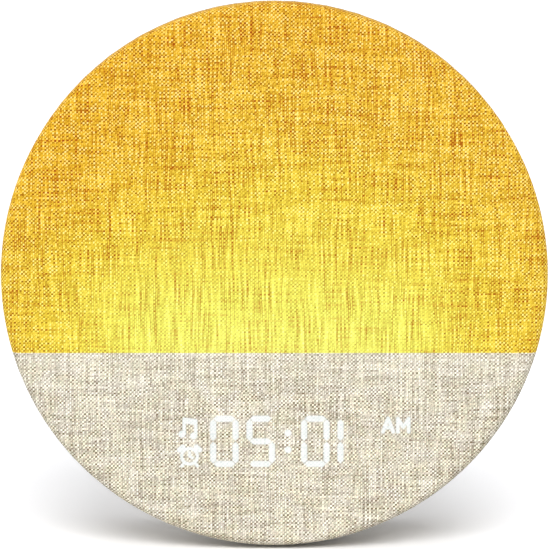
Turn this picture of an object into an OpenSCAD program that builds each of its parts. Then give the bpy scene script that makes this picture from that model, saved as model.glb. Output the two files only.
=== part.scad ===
// Sunrise alarm clock: a round, cloth-covered lamp face with a hidden time display,
// a moulded pebble-shaped housing behind it, keys on top and a narrow foot below.
// The face looks towards -Y and the origin is on the ground, under the middle of the foot.

/* [Face] */
// Diameter of the round face over its cloth
face_d = 180; // [176:1:200]
// Radius of the cloth's edge round the face
edge_r = 3; // [2.8:0.1:5]
// Thickness of the cloth
fabric_t = 0.6; // [0.4:0.1:0.9]
// Wall of the diffuser and of the display panel
panel_wall = 2; // [1.6:0.1:2.4]
// How far below the middle of the face the light ends
light_line_drop = 25.3; // [24:0.1:28]
// Clearance between pieces that are fitted together
fit_gap = 0.1; // [0.08:0.01:0.14]

/* [Display] */
// Height of a digit
digit_h = 16.9; // [14:0.1:18]
// Width of a digit
digit_w = 9.2; // [8:0.1:9.8]
// Width of a segment
segment_w = 1.8; // [1.4:0.1:2]
// Half of the gap between the ends of two segments
segment_end_gap = 0.3; // [0.25:0.05:0.5]
// Distance between the middles of two neighbouring digits
digit_pitch = 12; // [11.4:0.1:13]
// Distance from the colon to the middle of the digit next to it
colon_to_digit = 9; // [8:0.1:10]
// Where the colon stands, to the right of the middle of the face
colon_x = 4.5; // [0:0.1:6]
// How far above the lowest point of the face the middle of the digits is
digits_rise = 35.25; // [33:0.05:37]
// Diameter of a colon dot
dot_d = 2; // [1.4:0.1:2.6]
// Distance of a colon dot from the middle of the digits
dot_rise = 2.8; // [2:0.1:4]
// Depth of the block that keeps the light of each segment apart
block_depth = 4; // [3.6:0.1:5]
// Thickness of the display board
display_board_t = 1.4; // [1:0.1:1.6]

/* [Front frame and light tray] */
// Thickness of the front frame's plate
frame_plate_t = 2.6; // [2:0.1:3]
// Wall of the front frame's rim
frame_rim_t = 2.2; // [1.6:0.1:2.6]
// Height of the screw bosses behind the frame
boss_h = 6; // [5:0.1:8]
// Radius of the screw bosses
boss_r = 3.6; // [3:0.1:3.8]
// Depth of the light tray from its flange to its floor
tray_depth = 20.5; // [18:0.1:22]
// Wall of the light tray
tray_wall = 1.4; // [1:0.1:1.8]
// Thickness of the light tray's flange
tray_flange_t = 2.3; // [1.8:0.1:2.6]
// Number of lamps in each row that makes the sunrise
wake_led_count = 14; // [10:1:15]

/* [Rear housing] */
// Depth of the clock from the cloth to the flat back
body_depth = 64; // [63:0.5:76]
// How far the housing stays behind the edge of the face
shell_inset = 6; // [5.5:0.1:8]
// Wall of the housing
shell_wall = 2.2; // [1.8:0.1:2.6]
// Radius of the curve from the drum to the flat back
tail_round = 26; // [22:0.5:28]
// Shadow gap between the cloth and the housing
seam_gap = 0.8; // [0.5:0.1:1.5]
// Outer radius of the towers that take the case screws
tower_r = 4.2; // [3.9:0.1:4.4]
// Inner radius of those towers, for the screw's head
tower_bore_r = 3.2; // [3:0.1:3.4]

/* [Keys] */
// Length of the snooze key round the drum
snooze_l = 34; // [28:0.5:36]
// Width of the snooze key along the drum
snooze_w = 12; // [10:0.5:13]
// Diameter of a round key
round_key_d = 10.5; // [9:0.5:11]
// Angle of the inner round keys from the top
inner_key_angle = 19; // [18:0.5:20]
// Angle of the outer round keys from the top
outer_key_angle = 30; // [29.5:0.5:30.5]
// How far behind the face's front the keys' row lies
key_depth = 26; // [25.5:0.1:28]
// Travel of a key
key_travel = 0.8; // [0.4:0.1:1]
// How far a key stands out of the drum's curve
key_proud = 1.1; // [1:0.1:1.6]
// Gap round a key in its aperture
key_gap = 0.3; // [0.2:0.05:0.5]
// Depth of the recessed deck round the keys
deck_depth = 0.6; // [0.3:0.1:0.9]
// Depth of the symbols sunk into the keys
symbol_depth = 0.25; // [0.1:0.05:0.4]

/* [Speaker and grille] */
// Outer radius of the speaker's frame
speaker_r = 30; // [28:0.5:31]
// Height of the speaker's middle above the middle of the face
speaker_rise = 12; // [8:0.5:16]
// Depth of the speaker from its rim to the end of its magnet
speaker_depth = 25; // [23:0.5:25.5]
// Travel of the cone to each side
cone_travel = 0.5; // [0.2:0.1:0.7]
// Diameter of a hole in the grille
grille_hole_d = 2.4; // [1.8:0.1:2.8]
// Distance between two rings of holes
grille_pitch = 4.6; // [4.2:0.1:4.8]
// Number of rings of holes round the middle one
grille_rings = 5; // [3:1:5]
// Thickness of the grille
grille_t = 1.2; // [0.8:0.1:1.4]

/* [Main board and power inlet] */
// Width of the main board
board_w = 80; // [76:1:86]
// How far the main board's lower edge stays from the housing's wall
board_low_gap = 13.8; // [12.5:0.1:15]
// Thickness of the main board
board_t = 1.6; // [1:0.1:2]
// How far below the middle of the face the inlet is
inlet_drop = 40; // [38:0.5:42]
// Radius of the round recess that takes the power plug
inlet_r = 6; // [5.6:0.1:7]
// Depth of that recess
inlet_depth = 5; // [4:0.5:6]
// Bore of the power jack
jack_bore_r = 3.15; // [2.9:0.05:3.2]
// Radius of the jack's centre pin
jack_pin_r = 1; // [0.8:0.05:1.3]

/* [Foot] */
// Gap between the lowest point of the cloth and the ground
ground_gap = 1.2; // [1:0.1:3]
// Half of the foot's width at the back
foot_half_w = 30; // [28:0.5:34]
// How far behind the front of the face the foot begins
foot_setback = 14; // [13:0.5:18]
// How far in front of the flat back the foot ends
foot_back_inset = 4; // [2:0.5:6]
// Thickness of the rubber sole
sole_t = 2; // [1.5:0.1:3]
// Height of the foot's upper edge over the ground
foot_h = 13; // [11:0.1:14]

/* [Hidden] */
$fn = 128;
FINE = 256;   // fineness of long flat curves
MIDDLE = 64;  // fineness of round pieces of a middle size
SMALL = 32;   // fineness of screws and other small round pieces
TINY = 16;    // fineness of holes and dots in rows
OVER = 1;     // how far a cutter passes through a face
BIG = 400;    // larger than the clock

// ---- Places and sizes that follow from the values above -------------------------------

// Screws: head radius, head height, shank radius and the radius of the pilot hole.
big_screw = [2.8, 2, 1.25, 1.35];
small_screw = [1.8, 1.2, 0.8, 0.9];
cross_w = 0.3;                                // of the cross in a head, as shares of its radius
cross_l = 1.3;
screw_play = 0.35;                            // round a shank in the piece that it holds
screw_end_gap = 1.2;                          // between a shank's end and its hole's end

face_r = face_d / 2;
face_y = -body_depth / 2;
centre_z = ground_gap + face_r;
light_y = -light_line_drop;

// Layers of the front cup, as depths behind the face's front.
panel_front = fabric_t + fit_gap;
panel_back = panel_front + panel_wall;
block_front = panel_back + fit_gap;
block_back = block_front + block_depth;
display_board_front = block_back + fit_gap;
display_board_back = display_board_front + display_board_t;
frame_front = display_board_back + small_screw[1] + 2 * fit_gap;
cup_depth = frame_front + frame_plate_t;
rim_reach = 7;                                // how far the frame's rim stands forward
smallest_corner = 0.2;
lip_back = cup_depth + fabric_t;
divider_t = 1.5;
panel_r = face_r - panel_front;
panel_in_r = panel_r - panel_wall;
frame_r = panel_in_r - fit_gap;
frame_rim_in_r = frame_r - frame_rim_t;

// The housing's radii and the circle of its screws.
shell_r = face_r - shell_inset;
shell_in_r = shell_r - shell_wall;
shell_front = lip_back + seam_gap;
flat_r = shell_r - tail_round;
shoulder_depth = body_depth - tail_round;
front_round = 1;                              // of the housing's front edge
rib_t = 1.6;
spigot_t = 2.2;
spigot_gap = 0.2;
spigot_r = shell_in_r - spigot_gap;
spigot_in_r = spigot_r - spigot_t;
spigot_front = cup_depth + fit_gap;
step_depth = 3.6;                             // of the ring that joins spigot and wall
lip_in_r = spigot_r + 2 * spigot_gap;
back_in = body_depth - shell_wall;
screw_circle_r = spigot_in_r - tower_r - spigot_gap;
screw_angles = [45, 135, 225, 315];
boss_back = cup_depth + boss_h;
web_front = boss_back + fit_gap;
web_t = 2;

// The light tray, which passes through the front frame.
frame_land = 1.4;                             // between a boss and the frame's opening
tray_gap = 0.6;                               // round the tray in that opening
tray_flange_l = 9;
frame_bore_r = screw_circle_r - boss_r - frame_land;
tray_r = frame_bore_r - tray_gap;
tray_in_r = tray_r - tray_wall;
tray_flange_r = frame_bore_r + tray_flange_l;
tray_back_flange = frame_front - fit_gap;
tray_front = tray_back_flange - tray_flange_t;
tray_floor_back = tray_front + tray_depth;
tray_base_y = light_y + fit_gap;
tray_base_top = tray_base_y + tray_wall;
tray_screw_angles = [12, 58, 122, 168];
tray_screw_r = frame_bore_r + tray_flange_l / 2;
tray_screw_l = tray_flange_t + frame_plate_t - fit_gap;

// The lamps that make the sunrise.
led_board_y = tray_base_top + fit_gap;
led_board_t = 1.2;
led_board_front = tray_front + 4;
led_board_l = 12;
led_board_end_gap = 6;
led_board_half_w = sqrt(pow(tray_in_r, 2) - pow(led_board_y, 2)) - led_board_end_gap;
led_inset = 4;                                // of the outer lamps' middles from the board's ends
led_pitch = 2 * (led_board_half_w - led_inset) / (wake_led_count - 1);
led_rows = [led_board_front + led_board_l / 4, led_board_front + led_board_l * 3 / 4];
led_size = 3.4;
led_h = 1.9;

// The display: middles of the digits, and the windows beside them.
digits_y = digits_rise - face_r;
digit_xs = [for (k = [-1 - digit_pitch / colon_to_digit, -1, 1, 1 + digit_pitch / colon_to_digit])
    colon_x + k * colon_to_digit];
dot_ys = [digits_y - dot_rise, digits_y + dot_rise];
bar_l = digit_w - segment_w - 2 * segment_end_gap;
post_l = (digit_h - segment_w) / 2 - 2 * segment_end_gap;
// The marks beside the digits: widths and heights of the notes, the alarm and the letters.
note_size = [7, 8];
alarm_size = [8.4, 8.4];
letters_size = [9.6, 6];
mark_gap = 2.7;                               // between the marks and the digits
letters_gap = 4.9;
mark_rise = 4.7;
letters_rise = 5.4;
row_half_w = colon_to_digit + digit_pitch + digit_w / 2;
mark_x = -row_half_w - mark_gap - alarm_size[0] / 2;
letters_x = row_half_w + letters_gap + letters_size[0] / 2;
// Each mark's window: place beside the colon, width and height.
mark_windows = [concat([mark_x, mark_rise], note_size), concat([mark_x, -mark_rise], alarm_size),
    concat([letters_x, letters_rise], letters_size)];
block_margin = 2;
display_left = colon_x + mark_x - alarm_size[0] / 2 - block_margin;
display_right = colon_x + letters_x + letters_size[0] / 2 + block_margin;
block_half_h = digit_h / 2 + block_margin;
window_gap = 0.05;
display_led_t = 0.8;
display_led_w = 1.2;
lens_front = fabric_t + fit_gap + window_gap;
lens_back = block_back - display_led_t - 2 * fit_gap;
post_reach = 3.8;                             // of the display screws beyond the block
display_post_r = 2;
display_post_ys = [digits_y - block_half_h + display_post_r, digits_y + block_half_h - display_post_r];
display_post_xs = [display_left - post_reach, display_right + post_reach];
display_board_reach = 7;
display_screw_l = display_board_t + block_depth - screw_end_gap;

// The row of keys: radii, from the outside in.
key_y = face_y + key_depth;
round_key_angles = [-outer_key_angle, -inner_key_angle, inner_key_angle, outer_key_angle];
deck_r = shell_r - deck_depth;
deck_half_w = 7.6;
deck_half_angle = 37;
cap_r = shell_r + key_proud;
cap_crown = 0.5;
key_float = 0.3;
key_flange_t = 1.2;
key_flange_reach = 1;
flange_out_r = shell_in_r - key_float;
flange_in_r = flange_out_r - key_flange_t;
stem_l = 1.1;
stem_r = 1.7;
plunger_top = flange_in_r - stem_l;
switch_top = plunger_top - key_travel - fit_gap;
switch_h = 3.5;
switch_w = 6;
switch_base = switch_top - switch_h;
plunger_in = 0.9;                             // of the plunger, inside its switch
plunger_gap = 0.1;
flex_gap = 0.05;
flex_out_r = switch_base - flex_gap;
flex_t = 0.3;
carrier_out_r = flex_out_r - flex_t - flex_gap;
carrier_t = 2;
carrier_in_r = carrier_out_r - carrier_t;
carrier_half_w = 7;
carrier_half_angle = 39.2;
flex_half_w = 6;
flex_half_angle = 35;
carrier_post_angle = 37.4;
carrier_post_r = 1.9;
carrier_screw_l = 4;                          // of the shank, in its post

// The symbols on the keys.
moon_r = 2.2;
moon_bite_r = 1.8;
moon_bite_at = [1, 0.6];
bell_size = [2.4, 1.5];
bell_brim = [3.6, 0.5];
clapper_r = 0.4;
sun_r = 1;
sun_rays = 8;
ray_start = 1.5;
ray_size = [0.9, 0.4];
bar_size = [3.4, 0.7];

// The speaker, behind the grille, from the back wall inwards.
gasket_t = 0.8;
speaker_rim_back = back_in - gasket_t;
speaker_rim_t = 1.2;
speaker_rim_front = speaker_rim_back - speaker_rim_t;
speaker_rim_w = 3;
opening_r = speaker_r - speaker_rim_w;
grille_r = speaker_r + 1;
grille_front = body_depth - grille_t;
ear_r = 3.2;
ear_circle_r = speaker_r + ear_r + 0.8;       // the ears stand 0.8 clear of the rim
ear_screw_l = 1.6;                            // of the shank, in the housing
basket_in_r = opening_r - 3 * fit_gap;
basket_t = 1.5;
basket_neck = 2;                              // straight part of the basket under its rim
basket_window_w = 16.5;
surround_r = 1.4 + cone_travel;               // a deeper roll for a longer travel
surround_middle = basket_in_r - fit_gap - surround_r;
cone_r = surround_middle - surround_r - 3 * fit_gap;
coil_r = 7.3;
coil_t = 0.4;
coil_gap = 0.5;
cone_t = 0.5;
dome_r = 9;                                   // radius of the dust cap's curve
dome_edge_r = coil_r + coil_t;
cone_set_in = 0.8;                            // of the cone's edge, in front of the rim's back
cone_h = 7.5;
cone_back = speaker_rim_back - cone_set_in;
cone_front = cone_back - cone_h;
magnet_r = 19;
basket_h = 15;
magnet_plate_back = speaker_rim_back - basket_h;
magnet_plate_t = 1.5;
yoke_plate_t = 1.4;
yoke_front = speaker_rim_back - speaker_depth;
magnet_front = yoke_front + yoke_plate_t + fit_gap;
magnet_back = magnet_plate_back - magnet_plate_t - fit_gap;
magnet_ledge = 2;                             // of the basket's plate inside the magnet's edge
pole_r = 6.2;

// The main board and the power jack, from the inlet's recess inwards.
inlet_floor = body_depth - inlet_depth;
inlet_floor_t = 1.5;
inlet_cup_t = 1.65;
jack_snout_r = 3.95;
jack_snout_l = 1.7;
jack_back = inlet_floor - jack_snout_l;
jack_h = 9.7;
jack_w = 9;
jack_floor_t = 2;
jack_pin_set = 0.5;                           // of the pin's end, inside the recess's floor
board_back = jack_back - jack_h;
board_front = board_back - board_t;
board_face = board_front - fit_gap / 2;       // what stands on the board begins here
board_speaker_gap = 10;
board_top = speaker_rise - speaker_r - board_speaker_gap;
board_bottom = board_low_gap - pebble_r(shell_wall, board_back);
board_h = board_top - board_bottom;
board_y = board_top - board_h / 2;
board_post_r = 2.6;
post_inset = 4;
low_post_wall_gap = 9.6;
low_post_x = sqrt(pow(pebble_r(shell_wall, board_back) - low_post_wall_gap, 2)
    - pow(board_bottom + post_inset, 2));
board_posts = [for (side = [-1, 1], p = [[board_w / 2 - post_inset, board_top - post_inset],
    [low_post_x, board_bottom + post_inset]]) [side * p[0], p[1]]];
board_screw_l = 6;                            // of the shank, in its post
cell_r = 10;
cell_t = 3.2;
holder_t = 1.2;
cell_from_post = 12;
cell_at = [cell_from_post - low_post_x, board_y - 3];
// The board's layout on a grid, from its middle; each chip has a place, a width and a height.
board_grid = 1;
chips = board_grid * [[2, -3, 9, 9], [15, 6, 7, 7], [31, -4, 5, 8]];
capacitors = board_grid * [[14, -11], [22, -11], [22, -3]];
capacitor_r = 3;
capacitor_h = 8;
chip_h = 1.4;
connector_h = 2.6;
connector_d = 4;
plug_inset = 3;                               // of a connector's middle from the board's edge
plug_x = 22;
// Each connector: place and width.
display_plug = [0, board_bottom + plug_inset + 1, 12];
key_plug = [0, board_top - plug_inset, 10];
led_plug = [-plug_x, board_top - plug_inset, 6];
speaker_plug = [plug_x, board_top - plug_inset, 6];

// The ribbons and leads.
ribbon_t = 0.4;
ribbon_depth = (tray_floor_back + yoke_front) / 2;
plug_front = board_face - connector_h - ribbon_t;
display_ribbon_w = 10;
display_ribbon_sag = 3;
key_ribbon_w = 8;
lead_r = 0.6;
lead_hole_r = 2.4;
lead_slack = 4;                               // the step in which the leads' bends are set out
led_lead_inset = 7.7;                         // of the lead from the lamp board's end
led_lead_x = led_lead_inset - led_board_half_w;
led_lead_y = led_board_y + led_board_t + lead_hole_r * 2 / 3;

// The foot.
foot_front = -face_y - foot_setback;
foot_back = body_depth + face_y - foot_back_inset;
foot_front_r = 12;
foot_back_r = 8;
saddle_gap = 0.2;
base_screw_x = 15;
base_screw_y = 10;
base_head_depth = 2.6;                        // of the screw heads, in the foot's underside
base_boss_r = 3.4;
base_boss_h = 8;
sole_inset = 0.5;

// The housing's radius at one depth, that far inside its outer skin.
function pebble_r(inset, depth) = depth <= shoulder_depth
    ? shell_r - inset
    : flat_r + sqrt(pow(tail_round - inset, 2) - pow(depth - shoulder_depth, 2));

function on_circle(r, angle) = [r * cos(angle), r * sin(angle)];

// ---- Ways of placing things ----------------------------------------------------------

// Puts flat work at a depth behind the face: x to the right, y up, z towards the viewer.
module at_depth(depth) translate([0, face_y + depth, centre_z]) rotate([90, 0, 0]) children();

// A plate from one depth to another, with the outline of its 2D children.
module slab(front, back) at_depth(back) linear_extrude(back - front) children();

// Turns a profile drawn as radius and depth about the clock's axis, or about one beside it.
module turn(x = 0, y = 0)
    translate([x, face_y, centre_z + y]) rotate([-90, 0, 0]) rotate_extrude() children();

// The same, but only a sector of it on top of the drum.
module turn_sector(half_angle)
    translate([0, face_y, centre_z]) rotate([-90, 0, 0]) rotate([0, 0, -90 - half_angle])
        rotate_extrude(angle = 2 * half_angle) children();

// Stands something on the drum at an angle from the top: z points out of the drum.
module on_drum(angle) translate([0, key_y, centre_z]) rotate([0, angle, 0]) children();

module at_points(points) for (p = points) translate([p[0], p[1], 0]) children();

// A rectangle in a profile, from radius to radius and from depth to depth.
module band(r1, r2, d1, d2) translate([r1, d1]) square([r2 - r1, d2 - d1]);

// A box with its middle at x, y and its z from 0.
module plate(w, h, t) translate([-w / 2, -h / 2, 0]) cube([w, h, t]);

module above_light_line(gap) translate([-BIG / 2, -BIG / 2, centre_z + light_y + gap]) cube(BIG);

module below_light_line(gap) translate([-BIG / 2, -BIG / 2, centre_z + light_y - gap - BIG]) cube(BIG);

// A screw with its head's underside at z = 0 and its shank below; the cross is in the head.
module screw(size, shank_l) {
    difference() {
        union() {
            cylinder(r = size[0], h = size[1], $fn = SMALL);
            translate([0, 0, -shank_l]) cylinder(r = size[2], h = shank_l + size[1] / 2, $fn = SMALL);
        }
        for (turned = [0, 90]) rotate(turned)
            translate([0, 0, size[1] / 2]) plate(size[0] * cross_l, size[0] * cross_w, size[1]);
    }
}

// ---- The front cup -------------------------------------------------------------------

// Section of the cup that lies this far inside the cloth's outer skin.
module cup_profile(inset, back) {
    corner = max(edge_r - inset, smallest_corner);
    band(0, face_r - inset - corner, inset, back);
    band(0, face_r - inset, inset + corner, back);
    translate([face_r - inset - corner, inset + corner]) intersection() {
        circle(corner);
        translate([0, -corner]) square(corner);
    }
}

module fabric_cover() color("#e2dcc8")
    turn() {
        difference() {
            cup_profile(0, cup_depth);
            cup_profile(fabric_t, cup_depth + OVER);
        }
        band(lip_in_r, face_r, cup_depth, lip_back);
    }

module panel_cup()
    turn() difference() {
        cup_profile(panel_front, cup_depth);
        cup_profile(panel_back, cup_depth + OVER);
    }

module diffuser() color("#f8f0dc")
    intersection() {
        panel_cup();
        above_light_line(fit_gap / 2);
    }

// One segment lying along x, pointed at both ends.
module segment(length, width) {
    tip = length / 2;
    polygon([[-tip, 0], [-tip + width / 2, width / 2], [tip - width / 2, width / 2],
        [tip, 0], [tip - width / 2, -width / 2], [-tip + width / 2, -width / 2]]);
}

// The seven segments of a digit about its middle, each made wider all round by grow.
module digit_segments(grow) {
    for (row = [-1, 0, 1]) translate([0, row * (digit_h - segment_w) / 2])
        segment(bar_l + 2 * grow, segment_w + 2 * grow);
    for (column = [-1, 1], row = [-1, 1])
        translate([column * (digit_w - segment_w) / 2, row * (digit_h - segment_w) / 4])
            rotate(90) segment(post_l + 2 * grow, segment_w + 2 * grow);
}

// Every lit shape of the display.
module light_shapes(grow) {
    for (x = digit_xs) translate([x, digits_y]) digit_segments(grow);
    for (y = dot_ys) translate([colon_x, y]) circle(dot_d / 2 + grow, $fn = SMALL);
    for (m = mark_windows) translate([colon_x + m[0], digits_y + m[1]])
        square([m[2] + 2 * grow, m[3] + 2 * grow], center = true);
}

module display_outline(reach_x, reach_y)
    translate([display_left - reach_x, digits_y - block_half_h - reach_y])
        square([display_right - display_left + 2 * reach_x, 2 * (block_half_h + reach_y)]);

function display_posts() = [for (x = display_post_xs, y = display_post_ys) [x, y]];

module display_panel() color("#d9d4c6")
    difference() {
        union() {
            intersection() {
                union() {
                    panel_cup();
                    divider_wall();
                }
                below_light_line(fit_gap / 2);
            }
            slab(panel_back - OVER, display_board_front - fit_gap / 2)
                at_points(display_posts()) circle(display_post_r, $fn = SMALL);
        }
        slab(-OVER, panel_back + OVER) light_shapes(window_gap);
        slab(panel_back + fit_gap, block_back + OVER)
            at_points(display_posts()) circle(small_screw[3], $fn = SMALL);
    }

// Keeps the light of the sunrise away from the display.
module divider_wall()
    slab(panel_back - OVER, tray_back_flange) intersection() {
        circle(frame_rim_in_r - fit_gap);
        translate([-face_r, light_y - divider_t]) square([2 * face_r, divider_t + OVER]);
    }

module display_block() color("#f4f4f0")
    slab(block_front, block_back) difference() {
        display_outline(0, 0);
        light_shapes(window_gap);
    }

module segment_lenses() color("#eef4f8") slab(lens_front, lens_back) light_shapes(0);

module display_leds() color("#f0e070")
    slab(display_board_front - fit_gap / 2 - display_led_t, display_board_front - fit_gap / 2) {
        for (x = digit_xs) {
            for (row = [-1, 0, 1]) translate([x, digits_y + row * (digit_h - segment_w) / 2])
                square([2 * display_led_w, display_led_w], center = true);
            for (column = [-1, 1], row = [-1, 1]) translate([
                x + column * (digit_w - segment_w) / 2,
                digits_y + row * (digit_h - segment_w) / 4
            ]) square([display_led_w, 2 * display_led_w], center = true);
        }
        for (y = dot_ys) translate([colon_x, y]) square(display_led_w / 1.5, center = true);
        for (m = mark_windows) translate([colon_x + m[0], digits_y + m[1]])
            square(2 * display_led_w, center = true);
    }

module display_board() color("#2f6b45")
    slab(display_board_front, display_board_back) difference() {
        intersection() {
            display_outline(display_board_reach, block_margin);
            circle(frame_rim_in_r - 5 * fit_gap);
        }
        at_points(display_posts()) circle(small_screw[3] + fit_gap, $fn = SMALL);
    }

module display_screws() color("#9a9a9a")
    at_depth(display_board_back) at_points(display_posts()) rotate([180, 0, 0])
        screw(small_screw, display_screw_l);

// ---- The front frame and the light tray ----------------------------------------------

module front_frame() color("#cfcfcb")
    difference() {
        union() {
            turn() {
                band(frame_bore_r, frame_r, frame_front, cup_depth);
                band(frame_rim_in_r, frame_r, cup_depth - rim_reach, cup_depth);
            }
            slab(frame_front + OVER, boss_back) for (a = screw_angles)
                translate(on_circle(screw_circle_r, a)) circle(boss_r, $fn = SMALL);
        }
        slab(frame_front + OVER, boss_back + OVER) for (a = screw_angles)
            translate(on_circle(screw_circle_r, a)) circle(big_screw[3], $fn = SMALL);
        slab(frame_front - OVER, cup_depth + OVER) for (a = tray_screw_angles)
            translate(on_circle(tray_screw_r, a)) circle(small_screw[3], $fn = SMALL);
    }

module light_tray() color("#fafaf6")
    difference() {
        union() {
            intersection() {
                turn() {
                    band(tray_in_r, tray_flange_r, tray_front, tray_back_flange);
                    band(tray_in_r, tray_r, tray_front, tray_floor_back);
                    band(0, tray_r, tray_floor_back - tray_wall, tray_floor_back);
                }
                above_light_line(fit_gap);
            }
            slab(tray_front, tray_floor_back) intersection() {
                circle(tray_r);
                translate([-face_r, tray_base_y]) square([2 * face_r, tray_wall]);
            }
        }
        slab(tray_front - OVER, tray_back_flange + OVER) for (a = tray_screw_angles)
            translate(on_circle(tray_screw_r, a)) circle(small_screw[3] + fit_gap, $fn = SMALL);
        slab(tray_floor_back - tray_wall - OVER, tray_floor_back + OVER)
            translate([led_lead_x, led_lead_y]) circle(lead_hole_r, $fn = SMALL);
    }

module tray_screws() color("#9a9a9a")
    at_depth(tray_front) for (a = tray_screw_angles) translate(on_circle(tray_screw_r, a))
        screw(small_screw, tray_screw_l);

module wake_led_board() color("#f2f2ee")
    slab(led_board_front, led_board_front + led_board_l)
        translate([-led_board_half_w, led_board_y]) square([2 * led_board_half_w, led_board_t]);

module wake_leds() color("#ffd76a")
    for (depth = led_rows)
        slab(depth - led_size / 2, depth + led_size / 2) for (i = [0 : wake_led_count - 1])
            translate([(i - (wake_led_count - 1) / 2) * led_pitch - led_size / 2, led_board_y + led_board_t])
                square([led_size, led_h]);

// ---- The rear housing ----------------------------------------------------------------

// Section of the housing's outside, with its front edge rounded.
module housing_profile() intersection() {
    pebble_profile(0);
    union() {
        band(0, shell_r - front_round, shell_front, body_depth);
        band(0, shell_r, shell_front + front_round, body_depth);
        translate([shell_r - front_round, shell_front + front_round]) circle(front_round, $fn = MIDDLE);
    }
}

// Section of the pebble shape, this far inside its outer skin.
module pebble_profile(inset) {
    band(0, shell_r - inset, shell_front - OVER, shoulder_depth);
    band(0, flat_r, shell_front - OVER, body_depth - inset);
    translate([flat_r, shoulder_depth]) intersection() {
        circle(tail_round - inset);
        square(tail_round);
    }
}

// Columns that stand on the inside of the shell; they are trimmed by its outer skin.
module housing_columns() {
    slab(web_front, body_depth) for (a = screw_angles) {
        translate(on_circle(screw_circle_r, a)) circle(tower_r, $fn = SMALL);
        rotate(a) translate([screw_circle_r, -rib_t / 2]) square([shell_r - screw_circle_r, rib_t]);
    }
    slab(board_back, body_depth) at_points(board_posts) circle(board_post_r, $fn = SMALL);
    slab(speaker_rim_back, body_depth) at_points(speaker_ears()) circle(ear_r - fit_gap, $fn = SMALL);
    slab(inlet_floor - inlet_floor_t, body_depth)
        translate([0, -inlet_drop]) circle(inlet_r + inlet_cup_t);
    for (side = [-1, 1]) {
        translate([side * base_screw_x, base_screw_y, 0])
            cylinder(r = base_boss_r, h = base_boss_top(), $fn = SMALL);
        on_drum(side * carrier_post_angle)
            translate([0, 0, carrier_out_r]) cylinder(r = carrier_post_r, h = shell_r, $fn = SMALL);
    }
}

// Everything that is drilled or cut through the shell.
module housing_openings() {
    for (a = screw_angles) {
        slab(web_front + web_t, body_depth + OVER)
            translate(on_circle(screw_circle_r, a)) circle(tower_bore_r, $fn = SMALL);
        slab(web_front - OVER, web_front + web_t + OVER)
            translate(on_circle(screw_circle_r, a)) circle(big_screw[2] + screw_play, $fn = SMALL);
    }
    slab(board_back - OVER, board_back + board_screw_l + screw_end_gap)
        at_points(board_posts) circle(small_screw[3], $fn = SMALL);
    slab(speaker_rim_back - OVER, speaker_rim_back + ear_screw_l + 2 * fit_gap)
        at_points(speaker_ears()) circle(small_screw[3], $fn = SMALL);
    turn(0, speaker_rise) {
        band(0, opening_r, back_in - OVER, body_depth + OVER);
        band(0, grille_r + fit_gap, grille_front, body_depth + OVER);
    }
    slab(inlet_floor, body_depth + OVER) translate([0, -inlet_drop]) circle(inlet_r);
    slab(inlet_floor - inlet_floor_t - OVER, inlet_floor + OVER)
        translate([0, -inlet_drop]) circle(jack_snout_r + fit_gap, $fn = MIDDLE);
    for (side = [-1, 1]) {
        translate([side * base_screw_x, base_screw_y, 0])
            cylinder(r = big_screw[3], h = base_boss_top() + OVER, $fn = SMALL);
        on_drum(side * carrier_post_angle) translate([0, 0, carrier_out_r - OVER])
            cylinder(r = small_screw[3], h = shell_in_r - carrier_out_r, $fn = SMALL);
    }
}

function base_boss_top() = centre_z - sqrt(pow(shell_in_r, 2) - pow(base_screw_x, 2)) + base_boss_h;

module rear_housing() color("#ece6dc")
    difference() {
        union() {
            difference() {
                turn() housing_profile();
                turn() pebble_profile(shell_wall);
            }
            turn() {
                band(spigot_in_r, spigot_r, spigot_front, shell_front + OVER);
                band(spigot_in_r, shell_in_r + OVER, shell_front, shell_front + step_depth);
            }
            intersection() {
                turn() pebble_profile(0);
                housing_columns();
            }
        }
        housing_openings();
        turn_sector(deck_half_angle)
            band(deck_r, shell_r + OVER, key_depth - deck_half_w, key_depth + deck_half_w);
        on_drum(0) key_prism(snooze_l, snooze_w, key_gap, carrier_out_r);
        for (a = round_key_angles) on_drum(a) key_prism(round_key_d, round_key_d, key_gap, carrier_out_r);
    }

module case_screws() color("#9a9a9a")
    at_depth(web_front + web_t) for (a = screw_angles) translate(on_circle(screw_circle_r, a))
        rotate([180, 0, 0]) screw(big_screw, web_t + boss_h - screw_end_gap);

// ---- The keys ------------------------------------------------------------------------

// A prism with the key's outline, grown all round, that starts at a radius and goes outwards.
module key_prism(length, width, grow, from_r) {
    end_r = width / 2 + grow;
    straight = length - width;
    translate([0, 0, from_r]) {
        if (straight > 0) {
            plate(straight, 2 * end_r, shell_r);
            for (side = [-1, 1]) translate([side * straight / 2, 0, 0])
                cylinder(r = end_r, h = shell_r, $fn = MIDDLE);
        } else cylinder(r = end_r, h = shell_r, $fn = MIDDLE);
    }
}

// A drum whose skin is crowned a little across the key's width.
module crowned_drum(half_w) {
    crown_r = (half_w * half_w + cap_crown * cap_crown) / (2 * cap_crown);
    rotate([-90, 0, 0]) rotate_extrude() intersection() {
        translate([cap_r - crown_r, 0]) circle(crown_r, $fn = FINE);
        translate([0, -half_w - OVER]) square([cap_r + OVER, 2 * (half_w + OVER)]);
    }
}

module drum_ring(r1, r2, length)
    rotate([-90, 0, 0]) rotate_extrude() translate([r1, -length / 2]) square([r2 - r1, length]);

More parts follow.
